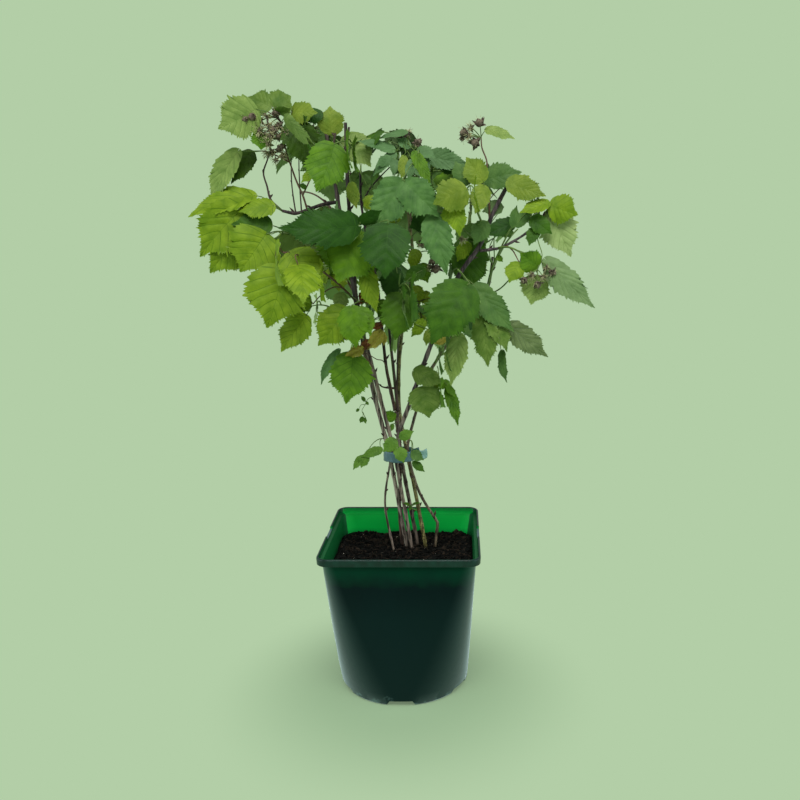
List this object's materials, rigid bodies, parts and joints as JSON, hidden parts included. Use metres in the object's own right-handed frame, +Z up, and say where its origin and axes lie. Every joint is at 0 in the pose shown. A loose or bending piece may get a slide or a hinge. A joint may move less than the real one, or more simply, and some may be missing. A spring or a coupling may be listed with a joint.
{
  "type": "potted raspberry plant",
  "caption": "Leafy raspberry canes held together by a soft plastic tie, standing in potting soil in a square-topped green nursery pot.",
  "frame": {"origin": "centre of the pot's flat underside", "axes": "+Z up through the pot and the canes, +X to the plant's right as seen from its front, -Y to the front"},
  "size_m": [0.3908, 0.2763, 0.5957],
  "materials": {
    "pot_plastic": "thin translucent moulded plastic, satin to glossy",
    "compost": "dark crumbly moist potting soil",
    "tie_plastic": "soft satin plastic band",
    "cane_bark": "dull streaked bark",
    "leaf_and_twig": "soft satin leaves"
  },
  "bodies": {
    "root": {"pot": "pot_plastic", "potting_soil": "compost", "cane_tie": "tie_plastic", "cane_left_tall": "cane_bark", "cane_left_front": "cane_bark", "cane_forked": "cane_bark", "cane_green": "cane_bark", "cane_right_tall": "cane_bark", "cane_right_short": "cane_bark", "cane_old_stub": "cane_bark", "fork_arm_left": "cane_bark", "fork_arm_right": "cane_bark", "bough_left": "cane_bark", "bough_right": "cane_bark", "foliage_right_low": "leaf_and_twig", "foliage_left_low": "leaf_and_twig", "foliage_front_dark": "leaf_and_twig", "foliage_centre_dark": "leaf_and_twig", "foliage_centre_low": "leaf_and_twig", "foliage_centre_front": "leaf_and_twig", "foliage_low_left": "leaf_and_twig", "foliage_left_middle": "leaf_and_twig", "foliage_upper_front": "leaf_and_twig", "foliage_top_left": "leaf_and_twig", "foliage_right_yellow": "leaf_and_twig", "foliage_right_hanging": "leaf_and_twig", "foliage_right_low_tip": "leaf_and_twig", "foliage_upper_right": "leaf_and_twig", "foliage_left_upper": "leaf_and_twig", "foliage_left_outer": "leaf_and_twig", "foliage_left_lower": "leaf_and_twig", "foliage_left_yellow": "leaf_and_twig", "foliage_top_left_inner": "leaf_and_twig", "foliage_right_tip": "leaf_and_twig", "foliage_fruit_spray": "leaf_and_twig", "foliage_right_far": "leaf_and_twig", "foliage_right_middle": "leaf_and_twig", "foliage_low_right": "leaf_and_twig", "foliage_low_small": "leaf_and_twig", "foliage_top_centre": "leaf_and_twig", "foliage_upper_back": "leaf_and_twig", "foliage_centre_back": "leaf_and_twig", "foliage_back_top": "leaf_and_twig", "foliage_back_middle": "leaf_and_twig", "foliage_back_low": "leaf_and_twig", "foliage_left_back": "leaf_and_twig", "foliage_left_back_low": "leaf_and_twig", "foliage_right_back": "leaf_and_twig", "foliage_right_back_high": "leaf_and_twig", "foliage_low_back": "leaf_and_twig", "sprout_left": "leaf_and_twig", "sprout_middle": "leaf_and_twig", "sprout_right": "leaf_and_twig"}
  },
  "joints": []
}
